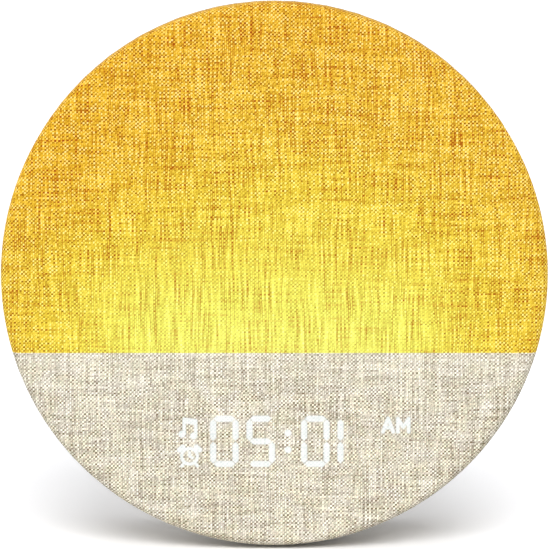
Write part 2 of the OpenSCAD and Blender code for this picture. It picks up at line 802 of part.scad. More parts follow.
// Cap, flange and stem of a key, moulded in one piece, with its symbol sunk into the cap.
module key(angle, length, width) color("#f4efe6")
    on_drum(angle) {
        difference() {
            intersection() {
                key_prism(length, width, 0, carrier_out_r);
                difference() {
                    crowned_drum(width / 2);
                    drum_ring(0, flange_in_r, 3 * width);
                }
            }
            translate([0, 0, cap_r - symbol_depth]) linear_extrude(symbol_depth + OVER) children();
        }
        intersection() {
            key_prism(length, width, key_flange_reach, carrier_out_r);
            drum_ring(flange_in_r, flange_out_r, 2 * width);
        }
        translate([0, 0, plunger_top])
            cylinder(r = stem_r, h = flange_in_r - plunger_top + key_flange_t / 2, $fn = SMALL);
    }

// A crescent moon for the snooze key.
module moon_symbol() difference() {
    circle(moon_r, $fn = MIDDLE);
    translate(moon_bite_at) circle(moon_bite_r, $fn = MIDDLE);
}

// A bell with its brim and its clapper.
module bell_symbol() {
    translate([0, bell_size[1] / 2]) circle(bell_size[0] / 2, $fn = MIDDLE);
    square(bell_size, center = true);
    translate([0, -bell_size[1] / 2]) square(bell_brim, center = true);
    translate([0, -bell_size[1] / 2 - bell_brim[1] - clapper_r]) circle(clapper_r, $fn = SMALL);
}

// A small sun with its rays.
module sun_symbol() {
    circle(sun_r, $fn = MIDDLE);
    for (i = [1 : sun_rays]) rotate(360 / sun_rays * i)
        translate([ray_start, -ray_size[1] / 2]) square(ray_size);
}

module bar_symbol() square(bar_size, center = true);

module snooze_key() key(0, snooze_l, snooze_w) moon_symbol();
module alarm_key() key(-outer_key_angle, round_key_d, round_key_d) bell_symbol();
module light_key() key(-inner_key_angle, round_key_d, round_key_d) sun_symbol();
module volume_down_key() key(inner_key_angle, round_key_d, round_key_d) bar_symbol();
module volume_up_key() key(outer_key_angle, round_key_d, round_key_d) {
    bar_symbol();
    rotate(90) bar_symbol();
}

module plunger(angle) color("#303030")
    on_drum(angle) translate([0, 0, switch_top - plunger_in])
        cylinder(r = stem_r, h = plunger_top - switch_top + plunger_in, $fn = SMALL);

module snooze_plunger() plunger(0);
module alarm_plunger() plunger(-outer_key_angle);
module light_plunger() plunger(-inner_key_angle);
module volume_down_plunger() plunger(inner_key_angle);
module volume_up_plunger() plunger(outer_key_angle);

module key_switches() color("#4a4a4a")
    for (a = concat([0], round_key_angles)) on_drum(a) difference() {
        translate([0, 0, switch_base]) plate(switch_w, switch_w, switch_h);
        translate([0, 0, switch_top - plunger_in - key_travel - plunger_gap])
            cylinder(r = stem_r + plunger_gap, h = switch_h, $fn = SMALL);
    }

module key_board() color("#c98a3a")
    turn_sector(flex_half_angle) band(
        flex_out_r - flex_t, flex_out_r, key_depth - flex_half_w, key_depth + flex_half_w);

module key_carrier() color("#d8d8d4")
    difference() {
        turn_sector(carrier_half_angle) band(
            carrier_in_r, carrier_out_r, key_depth - carrier_half_w, key_depth + carrier_half_w);
        for (side = [-1, 1]) on_drum(side * carrier_post_angle) translate([0, 0, carrier_in_r - OVER])
            cylinder(r = small_screw[3] + fit_gap, h = carrier_t + 2 * OVER, $fn = SMALL);
    }

module carrier_screws() color("#9a9a9a")
    for (side = [-1, 1]) on_drum(side * carrier_post_angle)
        translate([0, 0, carrier_in_r - fit_gap / 2]) rotate([180, 0, 0])
            screw(small_screw, carrier_t + carrier_screw_l);

// ---- The speaker and its grille ------------------------------------------------------

function speaker_ears() = [for (a = screw_angles) [0, speaker_rise] + on_circle(ear_circle_r, a)];

module speaker_grille() color("#d9d2c6")
    difference() {
        slab(grille_front, body_depth) translate([0, speaker_rise]) circle(grille_r);
        slab(grille_front - OVER, body_depth + OVER) translate([0, speaker_rise]) {
            circle(d = grille_hole_d, $fn = TINY);
            for (ring = [1 : grille_rings], i = [1 : 6 * ring])
                translate(on_circle(ring * grille_pitch, i * 60 / ring)) circle(d = grille_hole_d, $fn = TINY);
        }
    }

module speaker_gasket() color("#3a3a3a")
    turn(0, speaker_rise) band(opening_r + fit_gap, speaker_r, speaker_rim_back, back_in);

// A round-ended tab that reaches out from the speaker's rim.
module speaker_ear() {
    translate([ear_circle_r, 0]) circle(ear_r, $fn = SMALL);
    translate([opening_r, -ear_r]) square([ear_circle_r - opening_r, 2 * ear_r]);
}

module speaker_frame() color("#2c2c2e") {
    neck_front = speaker_rim_front - basket_neck;
    plate_front = magnet_plate_back - magnet_plate_t;
    ledge_r = magnet_r - magnet_ledge - basket_t;
    difference() {
        union() {
            turn(0, speaker_rise) {
                band(basket_in_r, speaker_r, speaker_rim_front, speaker_rim_back);
                polygon([
                    [basket_in_r, speaker_rim_back], [basket_in_r, neck_front],
                    [ledge_r, magnet_plate_back], [ledge_r, plate_front],
                    [ledge_r + basket_t, plate_front], [basket_in_r + basket_t, neck_front],
                    [basket_in_r + basket_t, speaker_rim_back]
                ]);
                band(coil_r + coil_gap, ledge_r + OVER, plate_front, magnet_plate_back);
            }
            slab(speaker_rim_front, speaker_rim_back) translate([0, speaker_rise])
                for (a = screw_angles) rotate(a) speaker_ear();
        }
        for (a = [0, 90]) slab(magnet_plate_back + OVER, neck_front - OVER)
            translate([0, speaker_rise]) rotate(a) square([4 * speaker_r, basket_window_w], center = true);
        slab(speaker_rim_front - OVER, speaker_rim_back + OVER)
            at_points(speaker_ears()) circle(small_screw[3] + fit_gap, $fn = SMALL);
    }
}

module speaker_magnet() color("#55565a")
    turn(0, speaker_rise) band(coil_r + 3 * coil_gap, magnet_r, magnet_front, magnet_back);

module speaker_yoke() color("#a8a8a8")
    turn(0, speaker_rise) {
        band(0, magnet_r - magnet_ledge, yoke_front, yoke_front + yoke_plate_t);
        band(0, pole_r, yoke_front, magnet_plate_back);
    }

// A half roll that bulges inwards, with flat rims.
module speaker_surround() color("#1c1c1c")
    turn(0, speaker_rise) translate([surround_middle, cone_back]) intersection() {
        difference() {
            circle(surround_r, $fn = MIDDLE);
            circle(surround_r - cone_t, $fn = MIDDLE);
        }
        translate([-surround_r, -surround_r]) square([2 * surround_r, surround_r]);
    }

module speaker_cone() color("#3b3632")
    turn(0, speaker_rise) {
        polygon([[coil_r - coil_t, cone_front], [cone_r, cone_back - cone_t],
            [cone_r, cone_back], [coil_r - coil_t, cone_front + cone_t]]);
        band(coil_r - coil_t, coil_r, magnet_plate_back - magnet_plate_t, cone_front + cone_t);
    }

// A dome over the coil, seated on the cone's throat.
module speaker_dust_cap() color("#1c1c1c") {
    dome_base = cone_front + 2 * cone_t + fit_gap;
    turn(0, speaker_rise) intersection() {
        translate([0, dome_base - sqrt(dome_r * dome_r - dome_edge_r * dome_edge_r)]) difference() {
            circle(dome_r, $fn = MIDDLE);
            circle(dome_r - cone_t, $fn = MIDDLE);
        }
        band(0, dome_edge_r, dome_base, body_depth);
    }
}

module speaker_screws() color("#9a9a9a")
    at_depth(speaker_rim_front) at_points(speaker_ears()) screw(small_screw, speaker_rim_t + ear_screw_l);

// ---- The main board ------------------------------------------------------------------

module main_board() color("#2f6b45")
    slab(board_front, board_back) difference() {
        intersection() {
            translate([-board_w / 2, board_top - board_h]) square([board_w, board_h]);
            circle(pebble_r(shell_wall, board_back) - OVER);
        }
        at_points(board_posts) circle(small_screw[3] + fit_gap, $fn = SMALL);
    }

module board_chips() color("#26272b")
    slab(board_face - chip_h, board_face)
        for (c = chips) translate([c[0], board_y + c[1]]) square([c[2], c[3]], center = true);

module board_capacitors() color("#b8bcc2")
    at_depth(board_face) translate([0, board_y]) at_points(capacitors)
        cylinder(r = capacitor_r, h = capacitor_h, $fn = SMALL);

module board_connectors() color("#efe9d8")
    slab(board_face - connector_h, board_face)
        for (c = [display_plug, key_plug, led_plug, speaker_plug])
            translate([c[0], c[1]]) square([c[2], connector_d], center = true);

module cell_holder() color("#33343a")
    turn(cell_at[0], cell_at[1]) {
        band(0, cell_r + holder_t, board_face - holder_t, board_face);
        band(cell_r + fit_gap, cell_r + holder_t, board_face - holder_t - cell_t, board_face);
    }

module backup_cell() color("#c4c6c8")
    turn(cell_at[0], cell_at[1])
        band(0, cell_r, board_face - holder_t - fit_gap - cell_t, board_face - holder_t - fit_gap);

module power_jack() color("#1d1d1f")
    difference() {
        union() {
            slab(board_back + fit_gap / 2, jack_back)
                translate([0, -inlet_drop]) square(jack_w, center = true);
            slab(jack_back - OVER, inlet_floor) translate([0, -inlet_drop]) circle(jack_snout_r, $fn = MIDDLE);
        }
        difference() {
            slab(board_back + jack_floor_t, inlet_floor + OVER)
                translate([0, -inlet_drop]) circle(jack_bore_r, $fn = SMALL);
            slab(board_back, inlet_floor - jack_pin_set)
                translate([0, -inlet_drop]) circle(jack_pin_r, $fn = SMALL);
        }
    }

module board_screws() color("#9a9a9a")
    at_depth(board_front) at_points(board_posts) screw(small_screw, board_t + board_screw_l);

// ---- The foot ------------------------------------------------------------------------

// Plan of the foot: narrow in front, where the face would show it, and wider behind.
module foot_plan(inset) hull() {
    translate([0, foot_front_r - foot_front]) circle(foot_front_r - inset, $fn = SMALL);
    for (side = [-1, 1]) translate([side * (foot_half_w - foot_back_r), foot_back - foot_back_r])
        circle(foot_back_r - inset, $fn = SMALL);
}

module base() color("#8d8f92")
    difference() {
        translate([0, 0, sole_t]) linear_extrude(foot_h - sole_t) foot_plan(0);
        turn() offset_pebble();
        for (side = [-1, 1]) translate([side * base_screw_x, base_screw_y, 0]) {
            cylinder(r = big_screw[2] + screw_play, h = foot_h, $fn = SMALL);
            cylinder(r = big_screw[0] + screw_play, h = sole_t + base_head_depth, $fn = SMALL);
        }
    }

// The housing and the cup of the face, grown by the gap that the foot keeps to them.
module offset_pebble() {
    pebble_profile(-saddle_gap);
    band(0, face_r + OVER, -OVER, shell_front);
}

module base_screws() color("#9a9a9a")
    for (side = [-1, 1]) translate([side * base_screw_x, base_screw_y, sole_t + base_head_depth])
        rotate([180, 0, 0])
            screw(big_screw, base_boss_top() - sole_t - base_head_depth - screw_end_gap);

module rubber_sole() color("#2a2a2b") linear_extrude(sole_t) foot_plan(sole_inset);

// ---- Ribbons and leads ---------------------------------------------------------------

// A ribbon of one thickness along points given as depth and height, extruded across.
module ribbon(points, width, thickness) {
    last = len(points) - 1;
    function way(i) = points[min(i + 1, last)] - points[max(i - 1, 0)];
    function side(i) = [-way(i)[1], way(i)[0]] * thickness / 2 / norm(way(i));
    translate([-width / 2, face_y, centre_z]) rotate([90, 0, 90]) linear_extrude(width)
        polygon(concat([for (i = [0 : last]) points[i] + side(i)],
            [for (i = [last : -1 : 0]) points[i] - side(i)]));
}

// Points of an S from one place to another, given as depth and height, with some sag.
function s_curve(from, to, sag) = [for (i = [0 : 16]) let (t = i / 16) [
    from[0] + (to[0] - from[0]) * t,
    from[1] + (to[1] - from[1]) * (3 - 2 * t) * t * t - sag * sin(180 * t) * sin(180 * t)
]];

module display_ribbon() color("#e8e4da")
    ribbon(s_curve([display_board_back + ribbon_t / 2, digits_y - digit_h / 4],
        [plug_front, display_plug[1]], display_ribbon_sag), display_ribbon_w, ribbon_t);

// Hangs behind the key carrier, then midway between the light tray and the speaker's yoke.
module key_ribbon() color("#c98a3a") {
    hang_depth = key_depth + carrier_half_w + ribbon_t;
    magnet_top = speaker_rise + magnet_r;
    ribbon(smooth([
        [hang_depth, flex_out_r - flex_t], [hang_depth, carrier_in_r - carrier_t],
        [ribbon_depth, (carrier_in_r + magnet_top) / 2], [ribbon_depth, magnet_top],
        [ribbon_depth, speaker_rise - magnet_r], [ribbon_depth, board_top + board_speaker_gap / 2],
        [(ribbon_depth + plug_front) / 2, board_top], [plug_front, key_plug[1]]
    ]), key_ribbon_w, ribbon_t);
}

// Points on a smooth curve through a list of points, with its last point.
function smooth(points) = concat([for (i = [0 : len(points) - 2], t = [0 : 0.25 : 0.75])
    let (a = points[max(i - 1, 0)], b = points[i], c = points[i + 1], d = points[min(i + 2, len(points) - 1)])
    b + (c - a) * t / 2 + (2 * a - 5 * b + 4 * c - d) * t * t / 2 + (3 * b - a - 3 * c + d) * t * t * t / 2],
    [points[len(points) - 1]]);

// A round lead swept along points given as x, depth and height, some way beside them.
module lead(route, r, aside) {
    sides = 8;
    points = smooth(route);
    last = len(points) - 1;
    rings = [for (i = [0 : last]) let (
        way = points[min(i + 1, last)] - points[max(i - 1, 0)],
        ahead = way / norm(way),
        across = cross(ahead, [1, 0, 0]),
        u = across / norm(across),
        v = cross(ahead, u)
    ) for (k = [0 : sides - 1], angle = 360 * k / sides)
        points[i] + aside * u + r * (cos(angle) * u + sin(angle) * v)];
    skin = [for (i = [0 : last - 1], k = [0 : sides - 1]) let (a = i * sides, n = (k + 1) % sides)
        each [[a + k, a + n, a + sides + n], [a + k, a + sides + n, a + sides + k]]];
    translate([0, face_y, centre_z]) polyhedron(rings, concat(skin,
        [[for (k = [sides - 1 : -1 : 0]) k]], [[for (k = [0 : sides - 1]) last * sides + k]]));
}

lead_end = board_face - connector_h - 2 * lead_r - fit_gap;
// Points that the leads pass, as x, depth and height.
led_route = [
    [led_lead_x, led_board_front + led_board_l - 1, led_lead_y],
    [led_lead_x, tray_floor_back, led_lead_y],
    [led_lead_x, tray_floor_back + 2 * lead_slack, led_lead_y - lead_slack],
    [led_plug[0] - 3 * lead_slack, board_front - 2 * lead_slack, led_plug[1] + lead_slack / 2],
    [led_plug[0], lead_end, led_plug[1]]
];
speaker_route = [
    [magnet_r - lead_slack, magnet_plate_back + lead_slack, speaker_rise - magnet_r - lead_slack],
    [magnet_r + lead_slack, magnet_plate_back - lead_slack / 2, speaker_rise - magnet_r - 2 * lead_slack],
    [speaker_plug[0] + lead_slack, board_front - 2 * lead_slack, speaker_plug[1] + 2 * lead_slack],
    [speaker_plug[0], lead_end, speaker_plug[1]]
];

module lead_pair(route) for (side = [-1, 1]) lead(route, lead_r, side * 1.2 * lead_r);

module led_lead() color("#b03030") lead_pair(led_route);
module speaker_lead() color("#303030") lead_pair(speaker_route);

// ---- The nodes -----------------------------------------------------------------------

fabric_cover();
diffuser();
display_panel();
front_frame();
light_tray();
tray_screws();
wake_led_board();
wake_leds();
display_block();
segment_lenses();
display_leds();
display_board();
display_screws();
rear_housing();
case_screws();
speaker_grille();
speaker_gasket();
speaker_frame();
speaker_magnet();
speaker_yoke();
speaker_surround();
speaker_cone();
speaker_dust_cap();
speaker_screws();
main_board();
board_chips();
board_capacitors();
board_connectors();
cell_holder();
backup_cell();
power_jack();
board_screws();
snooze_key();
alarm_key();
light_key();
volume_down_key();
volume_up_key();
snooze_plunger();
alarm_plunger();
light_plunger();
volume_down_plunger();
volume_up_plunger();
key_switches();
key_board();
key_carrier();
carrier_screws();
base();
base_screws();
rubber_sole();
display_ribbon();
key_ribbon();
led_lead();
speaker_lead();
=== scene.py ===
"""Looks of the sunrise alarm clock: its cloth, its lit display, its mouldings and its stage."""

import math

import bpy
import numpy as np
from mathutils import Matrix, Vector
from mathutils.geometry import delaunay_2d_cdt

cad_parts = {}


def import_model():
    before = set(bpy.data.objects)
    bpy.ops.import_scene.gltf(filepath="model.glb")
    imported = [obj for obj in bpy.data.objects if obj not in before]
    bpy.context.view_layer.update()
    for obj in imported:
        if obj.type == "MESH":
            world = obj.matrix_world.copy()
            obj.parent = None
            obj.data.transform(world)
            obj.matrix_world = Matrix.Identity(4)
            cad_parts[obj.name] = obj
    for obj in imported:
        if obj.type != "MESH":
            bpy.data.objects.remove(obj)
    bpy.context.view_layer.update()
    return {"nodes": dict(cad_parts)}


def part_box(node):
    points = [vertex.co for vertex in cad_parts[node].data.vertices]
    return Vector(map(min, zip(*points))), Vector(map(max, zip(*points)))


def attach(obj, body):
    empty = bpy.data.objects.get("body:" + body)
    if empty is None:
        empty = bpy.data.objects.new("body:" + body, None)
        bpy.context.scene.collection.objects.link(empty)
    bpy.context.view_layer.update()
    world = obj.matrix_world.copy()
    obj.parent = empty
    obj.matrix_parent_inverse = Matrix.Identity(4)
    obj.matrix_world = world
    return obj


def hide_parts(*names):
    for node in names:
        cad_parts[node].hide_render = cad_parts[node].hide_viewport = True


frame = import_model()

MM = 0.001

# ---- Places that come from the frame ---------------------------------------------------

cover_low, cover_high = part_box("fabric_cover")
lens_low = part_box("segment_lenses")[0]
key_low, key_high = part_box("snooze_key")
cone_low, cone_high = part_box("speaker_cone")
FACE_R = (cover_high.x - cover_low.x) / 2
MIDDLE = Vector((0, cover_low.y, (cover_low.z + cover_high.z) / 2))
LIGHT_LINE = (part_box("diffuser")[0].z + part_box("display_panel")[1].z) / 2
COLON = (lens_low.x + 36.7 * MM, lens_low.z + 8.9 * MM)
KEY_Y = (key_low.y + key_high.y) / 2
KEY_TOP = key_high.z - MIDDLE.z
KEY_ANGLES = (-30, -19, 0, 19, 30)
CONE_Z = (cone_low.z + cone_high.z) / 2

# ---- Sizes of the dressing -------------------------------------------------------------

# The cloth: its thickness, the radius of its edge, how far it is turned in behind the cup, the
# depth of its gathers and how far behind the edge they are full, its yarns' pitches, and the
# points in each ring of its mesh
CLOTH_T = 0.6 * MM
EDGE_R = 3 * MM
LIP_REACH = 8 * MM
GATHER, GATHER_FULL = 0.12 * MM, 5 * MM
WARP_PITCH = 0.66 * MM
WEFT_PITCH = 0.94 * WARP_PITCH
AROUND = 360

# The stitches of its hem: their way in from the edge, pitch, length, thread and how far behind
# the cloth their middles are
HEM_INSET, HEM_PITCH = 3.1 * MM, 3.8 * MM
STITCH_L, THREAD_D, STITCH_RISE = 2.8 * MM, 0.8 * MM, 0.05 * MM

# The height at which the sunrise is brightest
SUNRISE_Z = MIDDLE.z - 23.9 * MM

# The digits, as the light guides behind the cloth have them, in mm about the colon
DIGIT_H, DIGIT_W, SEGMENT_W, END_GAP = 16.9, 9.2, 1.8, 0.3
DIGIT_XS = (-21, -9, 9, 21)
SHOWN = ("abcdef", "afgcd", "abcdef", "ef")
DOT_RISE, DOT_R = 2.8, 1

# The signs beside the digits
NOTES_AT, ALARM_AT = (-32.35, 4.8), (-32.5, -5.0)
LETTER_A_AT, LETTER_M_AT = (33.0, 5.4), (38.0, 5.4)

# How far the display's light goes past the edge of a shape, and the width in which it fades
GLOW_REACH, GLOW_FADE = 0.4, 0.46


# ---- Node trees written as formulas ----------------------------------------------------

def srgb(r, g, b):
    """A colour given as 0 to 255 on the screen, as a linear one."""
    def linear(c):
        c /= 255
        return c / 12.92 if c <= 0.04045 else ((c + 0.055) / 1.055) ** 2.4
    return (linear(r), linear(g), linear(b), 1.0)


class Wire:
    """A value in a node tree. Arithmetic on it adds math nodes."""

    def __init__(self, net, socket):
        self.net, self.socket = net, socket

    def __add__(self, other):
        return self.net.math("ADD", self, other)

    __radd__ = __add__

    def __mul__(self, other):
        return self.net.math("MULTIPLY", self, other)

    __rmul__ = __mul__

    def __sub__(self, other):
        return self.net.math("SUBTRACT", self, other)

    def __rsub__(self, other):
        return self.net.math("SUBTRACT", other, self)

    def __truediv__(self, other):
        return self.net.math("DIVIDE", self, other)

    def floor(self):
        return self.net.math("FLOOR", self)

    def cos(self):
        return self.net.math("COSINE", self)

    def absolute(self):
        return self.net.math("ABSOLUTE", self)

    def at_least(self, other):
        return self.net.math("MAXIMUM", self, other)

    def above(self, other):
        return self.net.math("GREATER_THAN", self, other)

    def ease(self, start, end, low=0.0, high=1.0):
        """Goes smoothly from low to high while the value goes from start to end."""
        return self.net.node("ShaderNodeMapRange", 0, {
            "Value": self, "From Min": start, "From Max": end, "To Min": low, "To Max": high,
        }, interpolation_type="SMOOTHSTEP")

    def beside(self, output):
        """Another output of the node that this value comes from."""
        return Wire(self.net, self.socket.node.outputs[output])


class Net:
    """A tree of nodes, empty at first, that is a material's, the world's or a group by itself."""

    def __init__(self, owner):
        self.owner = owner
        if not isinstance(owner, bpy.types.NodeTree):
            owner.use_nodes = True
        self.tree = getattr(owner, "node_tree", owner)
        self.tree.nodes.clear()

    def node(self, kind, output, inputs, **settings):
        made = self.tree.nodes.new(kind)
        for key, value in settings.items():
            setattr(made, key, value)
        for key, value in inputs.items():
            if isinstance(value, Wire):
                self.tree.links.new(value.socket, made.inputs[key])
            else:
                made.inputs[key].default_value = value
        return Wire(self, made.outputs[output])

    def math(self, operation, *values):
        return self.node("ShaderNodeMath", 0, dict(enumerate(values)), operation=operation)

    def place(self):
        """The point on the object, in metres."""
        return self.node("ShaderNodeTexCoord", "Object", {})

    def uv(self):
        return self.node("ShaderNodeUVMap", 0, {}, uv_map="cloth")

    def attribute(self, name):
        return self.node("ShaderNodeAttribute", "Fac", {}, attribute_name=name)

    def parts(self, vector):
        x = self.node("ShaderNodeSeparateXYZ", 0, {0: vector})
        return x, x.beside(1), x.beside(2)

    def point(self, x=0.0, y=0.0, z=0.0):
        return self.node("ShaderNodeCombineXYZ", 0, {0: x, 1: y, 2: z})

    def noise(self, vector, scale, detail=2.0, roughness=0.5):
        return self.node("ShaderNodeTexNoise", 0, {
            "Vector": vector, "Scale": scale, "Detail": detail, "Roughness": roughness})

    def mix(self, factor, first, second, blend="MIX"):
        return self.node("ShaderNodeMix", 2, {0: factor, 6: first, 7: second},
                         data_type="RGBA", blend_type=blend)

    def ramp(self, value, first, *stops):
        """The first colour at 0, and then each colour at its own value."""
        made = self.node("ShaderNodeValToRGB", 0, {0: value})
        elements = made.socket.node.color_ramp.elements
        elements.remove(elements[1])
        elements[0].color = first
        for position, colour in stops:
            elements.new(position).color = colour
        return made

    def bump(self, height, depth, strength=1.0):
        return self.node("ShaderNodeBump", 0, {
            "Height": height, "Distance": depth, "Strength": strength})

    def end(self, result, kind="ShaderNodeOutputMaterial"):
        """Ends the tree in an output of this kind, and gives what the tree belongs to."""
        self.tree.links.new(result.socket, self.tree.nodes.new(kind).inputs[0])
        return self.owner

    def skin(self, **inputs):
        """Ends the tree in a Principled shader, whose inputs are given with _ for a space."""
        return self.end(self.node("ShaderNodeBsdfPrincipled", 0, {
            key.replace("_", " "): value for key, value in inputs.items()}))


# ---- The cloth's weave and light -------------------------------------------------------

def yarn_places(net):
    """Across the warp and across the weft, in pitches. The yarns stray a little on their way."""
    wander, patches = 2.4, 60
    u, v, _ = net.parts(net.uv())
    drift = net.noise(net.point(u * patches, v * patches), 1.0, 2.0)
    pull = net.noise(net.point(u * patches, v * patches, 7.0), 1.0, 2.0)
    return u / WARP_PITCH + (drift - 0.5) * wander, v / WEFT_PITCH + (pull - 0.5) * wander


def plain_weave(u, v):
    """A plain weave: its height from 0 to 1, how far the warp is over the weft, and the numbers
    of the two yarns that cross there."""
    bulge, rise = 0.55, 0.45
    i, j = u.floor(), v.floor()
    warp_side, weft_side = (u - i - 0.5) * 2, (v - j - 0.5) * 2
    warp = (1 - warp_side * warp_side) * bulge + ((v - 0.5 + i) * math.pi).cos() * rise
    weft = (1 - weft_side * weft_side) * bulge - ((u - 0.5 + j) * math.pi).cos() * rise
    return warp.at_least(weft), warp - weft, i, j


def yarn_tones(net, u, v, i, j):
    """How light each warp yarn, each weft yarn and each crossing is, about 0."""
    # From one yarn to the next is a long step in the noise, and along a yarn it is a short one.
    warp_step, streak_step, weft_step = 17.31, 9.17, 13.77
    slub, long_slub = 0.05, 0.012
    contrast, streaks = 0.15, 0.2

    def spun(a):
        return net.noise(net.point(a * warp_step, v * slub, 0.0), 1.0, 0.0)

    # A warp yarn stands out from the two beside it.
    warp = spun(i) - (spun(i - 1) + spun(i + 1)) * contrast - 0.5 * (1 - 2 * contrast)
    streak = net.noise(net.point(i * streak_step, v * long_slub, 9.0), 1.0, 1.0) - 0.5
    weft = net.noise(net.point(u * slub, j * weft_step, 5.0), 1.0, 0.0) - 0.5

    def crossing(a, b):
        return net.node("ShaderNodeTexWhiteNoise", "Value", {"Vector": net.point(a, b)})

    beside = crossing(i - 1, j) + crossing(i + 1, j) + crossing(i, j - 1) + crossing(i, j + 1)
    knot = crossing(i, j) - beside * 0.25
    return warp + streak * streaks, weft, knot


def warp_gaps(net, u, v):
    """1 in the thin gaps where two warp yarns have moved apart, 0 elsewhere."""
    gap_step, slub = 5.31, 0.03
    gap = (u + 0.5).floor()
    open_here = net.noise(net.point(gap * gap_step, v * slub, 11.0), 1.0, 2.0).ease(0.5, 0.62)
    return (u - gap).absolute().ease(0.1, 0.32, 1.0, 0.0) * open_here


def unlit_linen(net, u, v, i, j, z, tone_and_crevice_shade):
    """Cream yarns and oatmeal ones, some of them pinkish, greenish or bleached. A little of the
    sunrise falls on them below its lower edge."""
    spill_reach, spill_share = 16 * MM, 0.12
    patch, warp_step, weft_step = 0.11, 3.7, 2.9
    bleached = net.noise(net.point(u * patch, v * patch, 3.0), 1.0, 2.0, 0.6).ease(0.36, 0.64)
    tint = net.noise(net.point(i * warp_step + 20, j * weft_step, 1.0), 1.0, 0.0)
    cream = net.mix(tint.ease(0.35, 0.65), (1.11, 1.02, 0.83, 1.0), (1.07, 1.05, 0.85, 1.0))
    cream = net.mix(bleached, cream, (1.09, 1.035, 0.92, 1.0))
    oat = net.mix(tint.ease(0.4, 0.6), srgb(112, 92, 68), srgb(106, 95, 64))
    spill = z.ease(LIGHT_LINE - spill_reach, LIGHT_LINE, 0.0, spill_share)
    return net.mix(spill, net.mix(tone_and_crevice_shade, oat, cream), srgb(255, 250, 232))


def sunrise(net, x, z):
    """The colour of the sunrise, and how far each point is from where it is brightest: a broad
    band along its lower edge. It is deepest in its upper left corner."""
    band_in, band_out, band_low, band_high = 30 * MM, 78 * MM, 10 * MM, 45 * MM
    last_reach = 110 * MM
    up = z - SUNRISE_Z
    across = (x + 1 * MM).absolute()
    band = across.ease(band_in, band_out, 0.7, 0.0) * up.ease(band_low, band_high, 1.0, 0.0)
    across = across * (1 - band) * 0.72
    far = net.math("SQRT", across * across + up * up)
    colour = net.ramp(
        far / last_reach, srgb(242, 224, 94), (0.13, srgb(241, 221, 86)),
        (0.27, srgb(238, 207, 70)), (0.48, srgb(235, 192, 52)), (0.68, srgb(234, 178, 44)),
        (1.0, srgb(234, 169, 38)))
    corner = x.ease(-80 * MM, 0.0, 0.42, 0.0) * up.ease(20 * MM, 70 * MM)
    return net.mix(corner, colour, srgb(233, 160, 14)), far


def lit_linen(net, x, z, check_and_valley_shade, upright, level, weft_tone):
    """Linen with the sunrise behind it, whose light is painted into the cloth's colour. The painted
    light is darker and reddish through the darkest warp yarns, and nearly white through the yarns
    that stand out most."""
    light, far = sunrise(net, x, z)
    redness = (upright + weft_tone * 0.6).ease(-0.24, -0.06, 0.9, 0.0)
    ember = net.mix(redness, (0.37, 0.28, 0.0, 1.0), (0.46, 0.16, 0.0, 1.0))
    relief = (check_and_valley_shade + level * 1.1) * far.ease(0.0, 90 * MM, 0.4, 1.1) + upright * 1.25 + 0.5
    shade = net.mix(relief, ember, (1.5, 1.88, 2.6, 1.0))
    lit = net.mix(1.0, light, shade, "MULTIPLY")
    return net.mix(relief.ease(0.6, 1.15, 0.0, 0.36), lit, srgb(255, 248, 215))


def linen():
    """Linen cloth with the sunrise behind its upper part and the digits behind the lower."""
    black, grey = (0.0, 0.0, 0.0, 1.0), (0.42, 0.42, 0.42, 1.0)
    net = Net(bpy.data.materials.new("linen_cloth"))
    x, y, z = net.parts(net.place())
    u, v = yarn_places(net)
    height, over, i, j = plain_weave(u, v)
    warp_tone, weft_tone, knot = yarn_tones(net, u, v, i, j)
    fibre = net.noise(net.point(u * 2.5, v * 2.5), 1.0, 3.0, 0.7) - 0.5
    # The gaps where warp yarns have moved apart are made darker: painted shade.
    upright = warp_tone * 0.6 - warp_gaps(net, u, v) * 0.18
    level = weft_tone * 0.52 + knot * 0.33 + fibre * 0.2
    tone_and_crevice_shade = upright + level

    # The cloth is lighter where the warp is on top, and more so where the weave is crisp. These
    # dots lean to one diagonal, as twisted yarns do.
    crisp = net.noise(net.point(u * 0.8, v * 0.8, 13.0), 1.0, 1.0).ease(0.27, 0.73, -0.05, 2.05)
    lean = ((u - v) * math.pi).cos() * 0.3
    # The valleys between the yarns are made darker: painted shade.
    check_and_valley_shade = (over + lean).ease(-0.8, 0.8, -0.23, 0.245) * crisp - height.ease(0.2, 0.7, 0.08, 0.0)

    # The upper part is lit on the front only. There the light behind the cloth is painted into the
    # cloth's colour, and there and in the digits the cloth shines by itself with painted light, and
    # so it takes less colour from the light that falls on it.
    blur, lit_depth = 0.15 * MM, 9 * MM
    is_lit = (z.ease(LIGHT_LINE - blur, LIGHT_LINE + blur)
              * y.ease(MIDDLE.y + lit_depth, cover_high.y, 1.0, 0.0))
    glow = net.attribute("glow")
    unlit = unlit_linen(net, u, v, i, j, z, check_and_valley_shade + tone_and_crevice_shade + 0.5)
    lit = lit_linen(net, x, z, check_and_valley_shade, upright, level, weft_tone)
    digits = net.mix(check_and_valley_shade + tone_and_crevice_shade + 0.6, srgb(218, 236, 236), srgb(253, 255, 255))
    colour = net.mix(is_lit, unlit, net.mix(0.45, lit, black))
    colour = net.mix(glow * 0.85, colour, grey)
    shine = net.mix(glow, net.mix(is_lit, black, lit), digits)
    bumps = net.bump(height + tone_and_crevice_shade * 0.5, 0.12 * MM, 0.5)
    return net.skin(Base_Color=colour, Roughness=0.88, Normal=bumps, Specular_IOR_Level=0.1,
                    Sheen_Weight=0.05, Sheen_Roughness=0.5,
                    Emission_Color=shine, Emission_Strength=is_lit * 0.45 + glow * 0.465)


# ---- Finishes of the mouldings, metals, boards and films -------------------------------

def shaded(colour, factor):
    """A linear colour made lighter or darker."""
    return tuple(c * factor for c in colour) + (1.0,)


